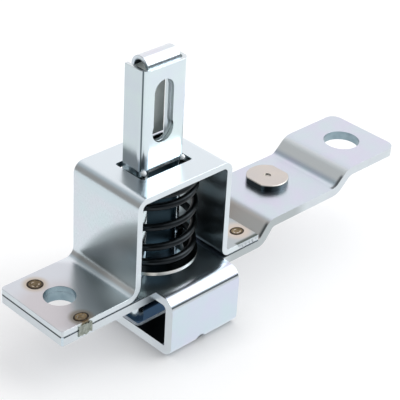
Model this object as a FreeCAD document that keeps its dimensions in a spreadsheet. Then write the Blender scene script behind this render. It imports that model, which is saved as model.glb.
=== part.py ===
# Sprung tailgate latch. A stepped strip is bolted down at both ends, and a tab on its front
# edge is folded forward, down and back under it to make the mouth that takes the striker.
# A hat bracket stands on the strip and guides a sprung plunger, which drops across the mouth.
#
# Millimetres, +Z up. X runs along the strip and Y towards its back edge. The origin is on the
# axis of the left bolt hole, where the hat's foot lies on the strip.
import FreeCAD, Part
import math
import os
import re
import Sketcher

SIZES = [
    # the strip that carries everything
    ("strip_width", 28.0, "width of the strip, front edge to back edge"),
    ("strip_thickness", 3.0, "thickness of the strip and of its folded tab"),
    ("strip_bend", 1.5, "inside radius of the bends in the strip"),
    ("left_reach", 10.5, "from the left bolt hole to the strip's left end"),
    ("left_bolt_bore", 9.6, "left bolt hole, through hat and strip"),
    ("first_step_run", 4.3, "length of the first step along X"),
    ("first_step_rise", 5.3, "height of the first step"),
    ("middle_flat", 30.4, "length of the middle level"),
    ("second_step_run", 5.6, "length of the second step along X"),
    ("second_step_rise", 5.1, "height of the second step"),
    ("second_step_bend", 3.0, "inside radius of the second step's bends"),
    ("right_bolt_lead", 12.2, "from the second step to the right bolt hole"),
    ("right_bolt_bore", 12.0, "right bolt hole, wide enough to adjust"),
    ("right_reach", 11.6, "from the right bolt hole to the strip's right end"),
    ("left_corner", 1.0, "corner radius at the left end"),
    ("right_corner", 3.5, "corner radius at the right end"),
    # the tab that is folded into the mouth
    ("mouth_margin", 0.75, "from the tab's left edge to the plunger's opening"),
    ("mouth_width", 27.3, "width of the folded tab along X"),
    ("mouth_lead", 3.0, "from the strip's front edge to the start of the tab's upper bend"),
    ("mouth_drop", 20.2, "from the strip's top to the underside of the fold"),
    ("fold_bend", 0.4, "inside radius of the tab's lower fold"),
    ("drain_bore", 6.4, "drain hole that nicks the lower fold"),
    ("drain_lead", 2.4, "from the plunger's axis to the drain hole, along X"),
    ("drain_inset", 3.35, "from the tab's front face to the middle of the drain hole"),
    # the hat bracket
    ("hat_sheet", 2.0, "thickness of the hat's sheet"),
    ("hat_start", 16.5, "outer face of the hat's left wall"),
    ("hat_height", 33.7, "top of the hat above the strip"),
    ("hat_bend", 1.5, "inside radius of the hat's top bends"),
    ("left_foot_bend", 3.0, "inside radius where the left foot meets its wall"),
    ("right_foot_bend", 1.2, "inside radius where the right foot meets its wall"),
    ("right_foot", 13.8, "length of the right foot"),
    ("right_foot_gap", 0.8, "from the end of the right foot to the first step"),
    ("guide_side_gap", 1.25, "gap beside the plunger in its openings"),
    ("guide_front_gap", 1.8, "gap before and behind the plunger in its openings"),
    ("guide_corner", 0.8, "corner radius of those openings"),
    # the plunger: a folded channel with a looped strap inside
    ("channel_depth", 8.4, "channel from front to back"),
    ("channel_sheet", 1.2, "thickness of the channel's sheet"),
    ("channel_bend", 1.3, "inside radius of the channel's bends"),
    ("channel_lift", 2.0, "from the underside of the fold to the channel's foot"),
    ("channel_lip", 2.6, "what the lower cut-out leaves of the front wall at each side"),
    ("cut_out_lift", 1.15, "from the hat's top to the end of the cut-out"),
    ("strap_sheet", 1.2, "thickness of the looped strap"),
    ("strap_gap", 1.2, "gap between the strap and the channel's walls"),
    ("strap_rise", 2.7, "from the top of the channel to the top of the loop"),
    ("strap_seam", 0.6, "gap where the strap's ends meet at the back"),
    ("strap_seam_height", 40.0, "height of that seam"),
    ("key_bore", 8.0, "the keyhole's round end"),
    ("key_lift", 7.55, "from the end of the cut-out to the round end"),
    ("key_left_land", 1.2, "from the strap's left edge to the round end"),
    ("key_right_land", 3.0, "from the round end to the strap's right edge"),
    ("key_slot_ease", 0.7, "how much narrower the keyhole's slot is than its round end"),
    ("key_slot_rise", 15.8, "from the round end's centre to the upper end of the slot"),
    ("key_top_land", 4.2, "from the upper end of the slot to the top of the channel"),
    # what keeps the plunger in and pushes it down
    ("pin_bore", 3.0, "diameter of the cross pin"),
    ("pin_lap", 2.1, "how far the pin reaches under the washer at each side"),
    ("washer_slip", 0.42, "gap between the washer's hole and the channel's corners"),
    ("washer_ledge", 1.4, "from the washer's hole to the inside of the spring"),
    ("washer_rim", 0.5, "from the outside of the spring to the washer's edge"),
    ("washer_gap", 2.5, "gap between the washer's edge and the hat's walls"),
    ("washer_sheet", 1.2, "thickness of the spring washer"),
    ("spring_wire", 2.2, "wire of the spring"),
    ("spring_turns", 3.0, "open turns between the two closed ends"),
    ("slip", 0.05, "gap left between pieces that touch"),
    # the stud on the middle level
    ("stud_lead", 16.0, "from the first step to the stud's axis"),
    ("stud_back", 3.1, "the stud's axis behind the strip's middle"),
    ("stud_head", 13.8, "diameter of the stud's head"),
    ("stud_flats", 12.2, "across the two flats of the head"),
    ("stud_height", 2.2, "height of the head"),
    ("stud_edge", 0.4, "rounding of the head's rim"),
    ("stud_mark", 2.4, "diameter of the centre mark"),
    ("stud_mark_depth", 0.4, "depth of the centre mark"),
    ("stud_shank", 7.0, "shank of the stud, and its hole"),
    ("stud_tail", 10.0, "peened tail under the strip"),
    ("stud_tail_height", 1.4, "thickness of the peened tail"),
]

# Sizes that follow from the ones above, written as the sheet writes them.
FOLLOWS = {
    "half_width": "strip_width / 2",
    "strap_width": "key_left_land + key_bore + key_right_land",
    "channel_width": "strap_width + 2 * strap_gap + 2 * channel_sheet",
    "washer_inner": "sqrt(channel_width ^ 2 + channel_depth ^ 2) + 2 * washer_slip",
    "spring_outer": "washer_inner + 2 * washer_ledge + 2 * spring_wire",
    "washer_outer": "spring_outer + 2 * washer_rim",
    "pin_length": "washer_inner + 2 * pin_lap",
    "hat_width": "washer_outer + 2 * washer_gap + 2 * hat_sheet",
    "hat_end": "hat_start + hat_width",
    "plunger_middle": "hat_start + hat_width / 2",
    "foot_end": "hat_end + right_foot",
    "first_step_start": "foot_end + right_foot_gap",
    "first_step_end": "first_step_start + first_step_run",
    "stud_middle": "first_step_end + stud_lead",
    "second_step_start": "first_step_end + middle_flat",
    "second_step_end": "second_step_start + second_step_run",
    "bolt_spacing": "second_step_end + right_bolt_lead",
    "strip_end": "bolt_spacing + right_reach",
    "guide_width": "channel_width + 2 * guide_side_gap",
    "guide_depth": "channel_depth + 2 * guide_front_gap",
    "mouth_left": "plunger_middle - guide_width / 2 - mouth_margin",
    "drain_middle": "plunger_middle + drain_lead",
    "drain_reach": "mouth_reach - drain_inset",
    "first_lean": "strip_thickness * tan(atan2(first_step_rise; first_step_run) / 2)",
    "second_lean": "strip_thickness * tan(atan2(second_step_rise; second_step_run) / 2)",
    "top_level": "first_step_rise + second_step_rise",
    "strip_outside_bend": "strip_bend + strip_thickness",
    "mouth_reach": "half_width + mouth_lead + strip_outside_bend",
    "mouth_floor": "strip_thickness - mouth_drop",
    "hat_ceiling": "hat_height - hat_sheet",
    "channel_foot": "mouth_drop - channel_lift",
    "channel_front": "0 - channel_depth / 2",
    "channel_left": "plunger_middle - channel_width / 2",
    "channel_right": "plunger_middle + channel_width / 2",
    "channel_outside_bend": "channel_bend + channel_sheet",
    "strap_front": "channel_front + channel_sheet + slip",
    "strap_outside": "(channel_depth / 2 - strap_front) / 2",
    "strap_inside": "strap_outside - strap_sheet",
    "strap_middle": "(channel_depth / 2 + strap_front) / 2",
    "strap_left": "channel_left + channel_sheet + strap_gap",
    "key_middle": "strap_left + key_left_land + key_bore / 2",
    "key_bore_height": "hat_height + cut_out_lift + key_lift + key_bore / 2",
    "key_slot_width": "key_bore - key_slot_ease",
    "key_slot_top": "key_bore_height + key_slot_rise",
    "channel_top": "key_slot_top + key_top_land",
    "strap_top": "channel_top + strap_rise",
    "pin_height": "pin_bore / 2 + slip",
    "washer_seat": "pin_height + pin_bore / 2 + slip",
    "spring_seat": "washer_seat + washer_sheet + slip",
    "spring_middle": "(spring_outer - spring_wire) / 2",
    "closed_pitch": "spring_wire + slip",
    "spring_first": "spring_seat + spring_wire / 2",
    "spring_last": "hat_ceiling - slip - spring_wire / 2",
    "open_height": "spring_last - spring_first - 2 * closed_pitch",
}

ORIGIN_POINT = (-1, 1)
TOUCH = 1e-4
PLANES = {"XY": "XY_Plane", "XZ": "XZ_Plane", "YZ": "YZ_Plane"}

doc = FreeCAD.newDocument("tailgate_latch")
NAMES = [name for name, size, note in SIZES]


def make_sheet():
    sheet = doc.addObject("Spreadsheet::Sheet", "Sizes")
    for row, (name, size, note) in enumerate(SIZES, start=1):
        sheet.set(f"A{row}", name)
        sheet.set(f"B{row}", str(size))
        sheet.set(f"C{row}", note)
        sheet.setAlias(f"B{row}", name)
    doc.recompute()


def bind(text):
    """Write a formula in size names as one that reads the sheet's cells."""
    def swap(match):
        word = match.group(0)
        if word in FOLLOWS:
            return "(" + bind(FOLLOWS[word]) + ")"
        return "Sizes." + word if word in NAMES else word
    return re.sub(r"[a-z_][a-z_0-9]*", swap, text)


def value(text):
    return float(doc.Sizes.evalExpression(bind(text)))


def make_body(name):
    body = doc.addObject("PartDesign::Body", name)
    body.Label = name
    return body


def make_sketch(body, name, plane, offset=None):
    """A sketch on one of the body's own origin planes, moved along its normal by offset."""
    sketch = body.newObject("Sketcher::SketchObject", name)
    for feature in body.Origin.OriginFeatures:
        if feature.Role == PLANES[plane]:
            sketch.AttachmentSupport = [(feature, "")]
    sketch.MapMode = "FlatFace"
    if offset:
        sketch.setExpression("AttachmentOffset.Base.z", bind(offset))
    return sketch


def place(sketch, geometry, point, across, up):
    """Tie one point of a sketch to formulas for its two coordinates."""
    for kind, text in (("DistanceX", across), ("DistanceY", up)):
        rule = Sketcher.Constraint(kind, *ORIGIN_POINT, geometry, point, value(text))
        number = sketch.addConstraint(rule)
        sketch.setExpression(f"Constraints[{number}]", bind(text))


def tie_radius(sketch, geometry, text):
    number = sketch.addConstraint(Sketcher.Constraint("Radius", geometry, value(text)))
    sketch.setExpression(f"Constraints[{number}]", bind(text))


def draw_outline(sketch, corners):
    """A closed outline of straight runs through corners given as pairs of formulas."""
    spots = [FreeCAD.Vector(value(across), value(up), 0) for across, up in corners]
    lines = []
    for start, end in zip(spots, spots[1:] + spots[:1]):
        lines.append(sketch.addGeometry(Part.LineSegment(start, end)))
    for line, following in zip(lines, lines[1:] + lines[:1]):
        sketch.addConstraint(Sketcher.Constraint("Coincident", line, 2, following, 1))
    for line, (across, up) in zip(lines, corners):
        place(sketch, line, 1, across, up)


def circle_at(across, up, radius):
    middle = FreeCAD.Vector(value(across), value(up), 0)
    return Part.Circle(middle, FreeCAD.Vector(0, 0, 1), value(radius))


def draw_circle(sketch, across, up, radius):
    number = sketch.addGeometry(circle_at(across, up, radius))
    place(sketch, number, 3, across, up)
    tie_radius(sketch, number, radius)


def draw_stadium(sketch, across, low, high, radius):
    """Two half circles, centred at heights low and high, joined by straight sides."""
    arcs = []
    for up, start, end in ((high, 0.0, math.pi), (low, math.pi, 2 * math.pi)):
        circle = circle_at(across, up, radius)
        arc = sketch.addGeometry(Part.ArcOfCircle(circle, start, end))
        place(sketch, arc, 3, across, up)
        tie_radius(sketch, arc, radius)
        for point in (1, 2):
            sketch.addConstraint(Sketcher.Constraint("Horizontal", arc, 3, arc, point))
        arcs.append(arc)
    top, bottom = arcs
    for first, second in ((top, bottom), (bottom, top)):
        start = sketch.getPoint(first, 2)
        end = sketch.getPoint(second, 1)
        side = sketch.addGeometry(Part.LineSegment(start, end))
        sketch.addConstraint(Sketcher.Constraint("Coincident", side, 1, first, 2))
        sketch.addConstraint(Sketcher.Constraint("Coincident", side, 2, second, 1))


def pad(body, name, sketch, length, both_ways=False, backwards=False):
    feature = body.newObject("PartDesign::Pad", name)
    feature.Profile = sketch
    feature.setExpression("Length", bind(length))
    feature.SideType = "Symmetric" if both_ways else "One side"
    feature.Reversed = backwards
    doc.recompute()
    return feature


def cut(body, name, sketch, length=None, both_ways=False, backwards=False):
    """Pocket the sketch through everything, or to a length, and see that metal went."""
    before = body.Shape.Volume
    feature = body.newObject("PartDesign::Pocket", name)
    feature.Profile = sketch
    if length:
        feature.setExpression("Length", bind(length))
    else:
        feature.Type = "ThroughAll"
    feature.SideType = "Symmetric" if both_ways else "One side"
    feature.Reversed = backwards
    doc.recompute()
    if body.Shape.Volume > before - TOUCH:
        raise ValueError(name + " cut nothing")
    return feature


def edges_along(shape, axis, spots):
    """Names of the straight edges along axis (0 X, 1 Y, 2 Z) that pass through the spots."""
    others = [number for number in range(3) if number != axis]
    found = []
    for number, edge in enumerate(shape.Edges, start=1):
        ends = [vertex.Point for vertex in edge.Vertexes]
        if len(ends) < 2 or edge.Curve.TypeId != "Part::GeomLine":
            continue
        for spot in spots:
            misses = [abs(end[other] - wanted) for end in ends
                      for other, wanted in zip(others, spot)]
            if max(misses) < TOUCH:
                found.append(f"Edge{number}")
    return found


def round_edges(body, name, axis, spots, radius):
    """Fillet the edges along axis that pass through spots, given as pairs of formulas."""
    places = [(value(first), value(second)) for first, second in spots]
    solid = body.Tip
    edges = edges_along(solid.Shape, axis, places)
    if len(edges) < len(spots):
        raise ValueError(name + " misses an edge")
    feature = body.newObject("PartDesign::Fillet", name)
    feature.Base = (solid, edges)
    feature.setExpression("Radius", bind(radius))
    doc.recompute()
    return feature


def open_guide(body, name):
    """The rectangular opening that the plunger runs in, through every layer it meets."""
    sketch = make_sketch(body, name + "_sketch", "XY")
    left = "plunger_middle - guide_width / 2"
    right = "plunger_middle + guide_width / 2"
    front = "0 - guide_depth / 2"
    back = "guide_depth / 2"
    draw_outline(sketch, [(left, front), (right, front), (right, back), (left, back)])
    cut(body, name, sketch, both_ways=True)
    corners = [(left, front), (right, front), (right, back), (left, back)]
    round_edges(body, name + "_corners", 2, corners, "guide_corner")


def drill(body, name, across, up, radius):
    sketch = make_sketch(body, name + "_sketch", "XY")
    draw_circle(sketch, across, up, radius)
    cut(body, name, sketch, both_ways=True)


def make_base_plate():
    body = make_body("base_plate")
    left = "0 - left_reach"
    profile = make_sketch(body, "strip_profile", "XZ")
    draw_outline(profile, [
        (left, "0"),
        ("first_step_start", "0"),
        ("first_step_end", "first_step_rise"),
        ("second_step_start", "first_step_rise"),
        ("second_step_end", "top_level"),
        ("strip_end", "top_level"),
        ("strip_end", "top_level - strip_thickness"),
        ("second_step_end + second_lean", "top_level - strip_thickness"),
        ("second_step_start + second_lean", "first_step_rise - strip_thickness"),
        ("first_step_end + first_lean", "first_step_rise - strip_thickness"),
        ("first_step_start + first_lean", "0 - strip_thickness"),
        (left, "0 - strip_thickness"),
    ])
    pad(body, "strip", profile, "strip_width", both_ways=True)
    round_edges(body, "first_inside_bends", 1, [
        ("first_step_start", "0"),
        ("first_step_end + first_lean", "first_step_rise - strip_thickness"),
    ], "strip_bend")
    round_edges(body, "first_outside_bends", 1, [
        ("first_step_end", "first_step_rise"),
        ("first_step_start + first_lean", "0 - strip_thickness"),
    ], "strip_outside_bend")
    round_edges(body, "second_inside_bends", 1, [
        ("second_step_start", "first_step_rise"),
        ("second_step_end + second_lean", "top_level - strip_thickness"),
    ], "second_step_bend")
    round_edges(body, "second_outside_bends", 1, [
        ("second_step_end", "top_level"),
        ("second_step_start + second_lean", "first_step_rise - strip_thickness"),
    ], "second_step_bend + strip_thickness")
    round_edges(body, "left_corners", 2,
                [(left, "half_width"), (left, "0 - half_width")], "left_corner")
    round_edges(body, "right_corners", 2,
                [("strip_end", "half_width"), ("strip_end", "0 - half_width")], "right_corner")
    fold_mouth(body)
    drill(body, "left_bolt_hole", "0", "0", "left_bolt_bore / 2")
    drill(body, "right_bolt_hole", "bolt_spacing", "0", "right_bolt_bore / 2")
    drill(body, "stud_hole", "stud_middle", "stud_back", "stud_shank / 2")
    open_guide(body, "plunger_guide")
    return body


def fold_mouth(body):
    """The tab on the strip's front edge, folded forward, down and back under the strip."""
    front = "0 - mouth_reach"
    inner_front = "strip_thickness - mouth_reach"
    profile = make_sketch(body, "mouth_profile", "YZ", offset="mouth_left")
    draw_outline(profile, [
        ("0", "0"),
        (front, "0"),
        (front, "0 - mouth_drop"),
        ("half_width", "0 - mouth_drop"),
        ("half_width", "mouth_floor"),
        (inner_front, "mouth_floor"),
        (inner_front, "0 - strip_thickness"),
        ("0", "0 - strip_thickness"),
    ])
    pad(body, "mouth", profile, "mouth_width")
    round_edges(body, "upper_fold_inside", 0,
                [(inner_front, "0 - strip_thickness")], "strip_bend")
    round_edges(body, "upper_fold_outside", 0, [(front, "0")], "strip_outside_bend")
    round_edges(body, "lower_fold_inside", 0, [(inner_front, "mouth_floor")], "fold_bend")
    round_edges(body, "lower_fold_outside", 0,
                [(front, "0 - mouth_drop")], "fold_bend + strip_thickness")
    drain = make_sketch(body, "drain_sketch", "XY", offset="0 - mouth_drop")
    draw_circle(drain, "drain_middle", "0 - drain_reach", "drain_bore / 2")
    cut(body, "drain_hole", drain, "strip_thickness", backwards=True)


def make_hat_bracket():
    body = make_body("hat_bracket")
    left = "0 - left_reach"
    inner_left = "hat_start + hat_sheet"
    inner_right = "hat_end - hat_sheet"
    profile = make_sketch(body, "hat_profile", "XZ")
    draw_outline(profile, [
        (left, "0"),
        (left, "hat_sheet"),
        ("hat_start", "hat_sheet"),
        ("hat_start", "hat_height"),
        ("hat_end", "hat_height"),
        ("hat_end", "hat_sheet"),
        ("foot_end", "hat_sheet"),
        ("foot_end", "0"),
        (inner_right, "0"),
        (inner_right, "hat_ceiling"),
        (inner_left, "hat_ceiling"),
        (inner_left, "0"),
    ])
    pad(body, "hat", profile, "strip_width", both_ways=True)
    round_edges(body, "top_inside_bends", 1,
                [(inner_left, "hat_ceiling"), (inner_right, "hat_ceiling")], "hat_bend")
    round_edges(body, "top_outside_bends", 1,
                [("hat_start", "hat_height"), ("hat_end", "hat_height")], "hat_bend + hat_sheet")
    round_edges(body, "left_foot_crease", 1, [("hat_start", "hat_sheet")], "left_foot_bend")
    round_edges(body, "left_foot_back", 1, [(inner_left, "0")], "left_foot_bend + hat_sheet")
    round_edges(body, "right_foot_crease", 1, [("hat_end", "hat_sheet")], "right_foot_bend")
    round_edges(body, "right_foot_back", 1, [(inner_right, "0")], "right_foot_bend + hat_sheet")
    round_edges(body, "end_corners", 2,
                [(left, "half_width"), (left, "0 - half_width")], "left_corner")
    drill(body, "bolt_hole", "0", "0", "left_bolt_bore / 2")
    open_guide(body, "guide")
    return body


def cut_keyhole(body):
    """The keyhole in a front wall: a round end, a slot above it and the slot's round top."""
    slot_top = "key_slot_top - key_slot_width / 2"
    left = "key_middle - key_slot_width / 2"
    right = "key_middle + key_slot_width / 2"
    bore = make_sketch(body, "key_bore_sketch", "XZ")
    draw_circle(bore, "key_middle", "key_bore_height", "key_bore / 2")
    cut(body, "key_bore_cut", bore, backwards=True)
    slot = make_sketch(body, "key_slot_sketch", "XZ")
    draw_outline(slot, [
        (left, "key_bore_height"),
        (right, "key_bore_height"),
        (right, slot_top),
        (left, slot_top),
    ])
    cut(body, "key_slot_cut", slot, backwards=True)
    top = make_sketch(body, "key_top_sketch", "XZ")
    draw_circle(top, "key_middle", slot_top, "key_slot_width / 2")
    cut(body, "key_top_cut", top, backwards=True)


def make_plunger_channel():
    body = make_body("plunger_channel")
    back = "channel_depth / 2"
    inner_front = "channel_front + channel_sheet"
    inner_left = "channel_left + channel_sheet"
    inner_right = "channel_right - channel_sheet"
    plan = make_sketch(body, "channel_plan", "XY", offset="0 - channel_foot")
    draw_outline(plan, [
        ("channel_left", back),
        ("channel_left", "channel_front"),
        ("channel_right", "channel_front"),
        ("channel_right", back),
        (inner_right, back),
        (inner_right, inner_front),
        (inner_left, inner_front),
        (inner_left, back),
    ])
    pad(body, "channel", plan, "channel_foot + channel_top")
    round_edges(body, "channel_inside", 2,
                [(inner_left, inner_front), (inner_right, inner_front)], "channel_bend")
    round_edges(body, "channel_outside", 2,
                [("channel_left", "channel_front"), ("channel_right", "channel_front")],
                "channel_outside_bend")
    cut_keyhole(body)
    open_lower_front(body)
    pin = make_sketch(body, "pin_sketch", "YZ", offset="plunger_middle")
    draw_circle(pin, "strap_middle", "pin_height", "pin_bore / 2")
    cut(body, "pin_holes", pin, both_ways=True)
    return body


def open_lower_front(body):
    """Inside the hat and below it only the bent corners of the front wall are left."""
    left = "channel_left + channel_lip"
    right = "channel_right - channel_lip"
    below = "0 - channel_foot - channel_lift"
    above = "hat_height + cut_out_lift"
    front = make_sketch(body, "cut_out_sketch", "XZ")
    draw_outline(front, [(left, below), (right, below), (right, above), (left, above)])
    cut(body, "cut_out", front, backwards=True)


def make_plunger_strap():
    """The strap loops round the plunger's foot and over the top of the channel."""
    body = make_body("plunger_strap")
    low = "strap_outside - channel_foot"
    high = "strap_top - strap_outside"
    outer = make_sketch(body, "strap_outer", "YZ", offset="strap_left")
    draw_stadium(outer, "strap_middle", low, high, "strap_outside")
    pad(body, "strap", outer, "strap_width")
    inner = make_sketch(body, "strap_inner", "YZ", offset="strap_left")
    draw_stadium(inner, "strap_middle", low, high, "strap_inside")
    cut(body, "strap_inside_cut", inner, both_ways=True)
    cut_keyhole(body)
    seam = make_sketch(body, "seam_sketch", "XZ")
    left = "strap_left - slip"
    right = "strap_left + strap_width + slip"
    above = "strap_seam_height + strap_seam"
    draw_outline(seam, [
        (left, "strap_seam_height"),
        (right, "strap_seam_height"),
        (right, above),
        (left, above),
    ])
    cut(body, "strap_seam_cut", seam)
    return body


def make_cross_pin():
    body = make_body("cross_pin")
    section = make_sketch(body, "pin_section", "YZ", offset="plunger_middle")
    draw_circle(section, "strap_middle", "pin_height", "pin_bore / 2")
    pad(body, "pin", section, "pin_length", both_ways=True)
    return body


def make_spring_washer():
    body = make_body("spring_washer")
    disc = make_sketch(body, "washer_disc", "XY", offset="washer_seat")
    draw_circle(disc, "plunger_middle", "0", "washer_outer / 2")
    pad(body, "washer", disc, "washer_sheet")
    hole = make_sketch(body, "washer_hole", "XY", offset="washer_seat")
    draw_circle(hole, "plunger_middle", "0", "washer_inner / 2")
    cut(body, "washer_hole_cut", hole, both_ways=True)
    return body


def make_spring():
    """A closed turn at each end, which lies flat on its seat, and open turns between them."""
    body = make_body("plunger_spring")
    body.setExpression("Placement.Base.x", bind("plunger_middle"))
    stretches = [
        ("lower_closed", "spring_first", "closed_pitch", "closed_pitch"),
        ("open_turns", "spring_first + closed_pitch", "open_height / spring_turns", "open_height"),
        ("upper_closed", "spring_last - closed_pitch", "closed_pitch", "closed_pitch"),
    ]
    for name, start, pitch, height in stretches:
        wire = make_sketch(body, name + "_wire", "XZ")
        draw_circle(wire, "spring_middle", start, "spring_wire / 2")
        turn = body.newObject("PartDesign::AdditiveHelix", name)
        turn.Profile = wire
        turn.ReferenceAxis = (wire, ["V_Axis"])
        turn.Mode = "pitch-height-angle"
        turn.setExpression("Pitch", bind(pitch))
        turn.setExpression("Height", bind(height))
        doc.recompute()
    return body


def make_stud():
    """A two-flat head on the strip, a shank through it and a tail peened under it."""
    body = make_body("pivot_stud")
    body.setExpression("Placement.Base.x", bind("stud_middle"))
    body.setExpression("Placement.Base.y", bind("stud_back"))
    body.setExpression("Placement.Base.z", bind("first_step_rise"))
    head = make_sketch(body, "head_circle", "XY")
    draw_circle(head, "0", "0", "stud_head / 2")
    pad(body, "head", head, "stud_height")
    for name, near, far in (("left_flat", "0 - stud_flats / 2", "0 - stud_head"),
                            ("right_flat", "stud_flats / 2", "stud_head")):
        flat = make_sketch(body, name + "_sketch", "XY")
        draw_outline(flat, [
            (near, "0 - stud_head"),
            (far, "0 - stud_head"),
            (far, "stud_head"),
            (near, "stud_head"),
        ])
        cut(body, name, flat, both_ways=True)
    edges = rim_edges(body.Tip.Shape, value("stud_height"))
    rim = body.newObject("PartDesign::Fillet", "head_rim")
    rim.Base = (doc.right_flat, edges)
    rim.setExpression("Radius", bind("stud_edge"))
    doc.recompute()
    mark = make_sketch(body, "mark_sketch", "XY", offset="stud_height")
    draw_circle(mark, "0", "0", "stud_mark / 2")
    cut(body, "mark", mark, "stud_mark_depth")
    for name, radius, length in (("shank", "stud_shank / 2", "strip_thickness"),
                                 ("tail", "stud_tail / 2", "stud_tail_height")):
        start = None if name == "shank" else "0 - strip_thickness"
        section = make_sketch(body, name + "_sketch", "XY", offset=start)
        draw_circle(section, "0", "0", radius)
        pad(body, name, section, length, backwards=True)
    return body


def rim_edges(shape, height):
    return [f"Edge{number}" for number, edge in enumerate(shape.Edges, start=1)
            if all(abs(vertex.Z - height) < TOUCH for vertex in edge.Vertexes)]


def check(pieces):
    """Stop before anything is written if a feature failed or a piece isn't sound."""
    for thing in doc.Objects:
        if "Invalid" in thing.State or "Error" in thing.State:
            raise ValueError(thing.Label + " failed")
    for piece in pieces:
        if piece.Shape.isNull() or not piece.Shape.isValid():
            raise ValueError(piece.Label + " is not sound")


def export(pieces):
    os.makedirs("parts", exist_ok=True)
    for piece in pieces:
        piece.Shape.exportStep(f"parts/{piece.Label}.step")
        box = piece.Shape.BoundBox
        print(f"{piece.Label}: {len(piece.Shape.Solids)} solid, {piece.Shape.Volume:.0f} mm3,",
              f"x {box.XMin:.2f} to {box.XMax:.2f},",
              f"y {box.YMin:.2f} to {box.YMax:.2f},",
              f"z {box.ZMin:.2f} to {box.ZMax:.2f}")


make_sheet()
latch = [
    make_base_plate(),
    make_hat_bracket(),
    make_plunger_channel(),
    make_plunger_strap(),
    make_cross_pin(),
    make_spring_washer(),
    make_spring(),
    make_stud(),
]
doc.recompute()
check(latch)
export(latch)
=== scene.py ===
# %% [markdown]
# # A zinc-plated tailgate latch
#
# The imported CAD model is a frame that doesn't move. Its eight pieces are stamped, folded,
# turned or coiled steel, so most of the work here is in the finish: how bright zinc plate
# mirrors the room, what a spot weld leaves on it, and how sheared edges catch the light.
#
# Everything is in metres. X runs along the strip, Y to its back edge and Z up, and the
# origin is on the left bolt hole where the hat's foot lies on the strip. Places and sizes
# on the latch are written in millimetres and multiplied by MM where Blender needs metres.

# %% Load the frame
import math
import random

import bmesh
import bpy
from mathutils import Matrix, Vector, noise


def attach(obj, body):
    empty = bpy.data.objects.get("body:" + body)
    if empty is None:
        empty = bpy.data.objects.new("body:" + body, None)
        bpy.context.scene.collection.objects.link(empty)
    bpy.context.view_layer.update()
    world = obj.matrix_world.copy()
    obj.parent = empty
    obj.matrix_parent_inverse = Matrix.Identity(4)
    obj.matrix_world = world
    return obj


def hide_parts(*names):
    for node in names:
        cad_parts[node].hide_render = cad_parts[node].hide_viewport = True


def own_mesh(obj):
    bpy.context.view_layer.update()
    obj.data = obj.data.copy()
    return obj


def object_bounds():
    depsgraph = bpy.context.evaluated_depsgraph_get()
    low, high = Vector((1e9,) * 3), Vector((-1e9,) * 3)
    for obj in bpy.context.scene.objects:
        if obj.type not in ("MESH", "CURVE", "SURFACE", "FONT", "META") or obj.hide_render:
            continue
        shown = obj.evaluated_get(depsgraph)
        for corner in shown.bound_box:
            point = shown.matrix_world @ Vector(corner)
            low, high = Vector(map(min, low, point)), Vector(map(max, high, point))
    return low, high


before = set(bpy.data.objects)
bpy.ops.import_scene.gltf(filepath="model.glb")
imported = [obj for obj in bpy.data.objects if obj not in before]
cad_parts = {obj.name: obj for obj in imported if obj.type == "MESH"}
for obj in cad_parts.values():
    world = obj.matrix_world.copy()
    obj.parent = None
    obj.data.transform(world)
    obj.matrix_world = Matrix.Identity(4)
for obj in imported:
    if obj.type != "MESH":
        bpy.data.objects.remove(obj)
cad_box = [list(corner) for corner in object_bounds()]
MM = 0.001
print("nodes:", ", ".join(sorted(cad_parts)))

# %% [markdown]
# ## The camera
#
# A photograph of a small object is taken from near, and the nearer end looks larger. The
# place below comes from matching the strip's corners, the hat's edges and the plunger's
# edges to the picture, so the model falls on the same outlines. A long lens on a normal
# sensor gives that gentle perspective. The camera also leans a little, as a hand-held one
# does, and that lean is kept as a roll about its own line of sight.

# %% Place the camera
CAMERA_FROM = Vector((-209.67, -259.55, 241.78)) * MM
CAMERA_TURN = 45.550
CAMERA_DOWN = 31.722
CAMERA_ROLL = 3.342
FOCAL_PIXELS = 1426.2
PICTURE_PIXELS = 400
SENSOR = 36.0


def aim(turn, down, roll):
    """The camera's axes for a turn from +Y towards +X, a look down and a lean, in degrees."""
    turn, down, roll = (math.radians(angle) for angle in (turn, down, roll))
    ahead = Vector((math.sin(turn) * math.cos(down),
                    math.cos(turn) * math.cos(down),
                    -math.sin(down)))
    level = Vector((math.cos(turn), -math.sin(turn), 0))
    above = level.cross(ahead)
    right = level * math.cos(roll) + above * math.sin(roll)
    up = above * math.cos(roll) - level * math.sin(roll)
    return Matrix((right, up, -ahead)).transposed()


camera_data = bpy.data.cameras.new("camera")
camera_data.sensor_width = SENSOR
camera_data.lens = FOCAL_PIXELS * SENSOR / PICTURE_PIXELS
camera = bpy.data.objects.new("camera", camera_data)
bpy.context.collection.objects.link(camera)
camera.matrix_world = Matrix.Translation(CAMERA_FROM) @ aim(
    CAMERA_TURN, CAMERA_DOWN, CAMERA_ROLL).to_4x4()
bpy.context.scene.camera = camera
print("lens", round(camera_data.lens, 1), "mm")

# %% [markdown]
# ## Colours and nodes
#
# A colour is given in sRGB, but shaders count light, so each one is turned to linear by
# one function. A second function adds a node to a material, with its settings, its numbers
# and the sockets that feed it, so that a recipe reads from top to bottom.
#
# The last ones make masks from a place: a box or a ball that is 1 inside and fades out at
# its sides. They say where a film, a stain or a shadow lies.

# %% Helpers for materials
def linear(code):
    """The linear colour of an sRGB code such as #d8e0e8."""
    parts = [int(code[place:place + 2], 16) / 255 for place in (1, 3, 5)]
    shades = [part / 12.92 if part <= 0.04045 else ((part + 0.055) / 1.055) ** 2.4
              for part in parts]
    return (*shades, 1.0)


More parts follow.
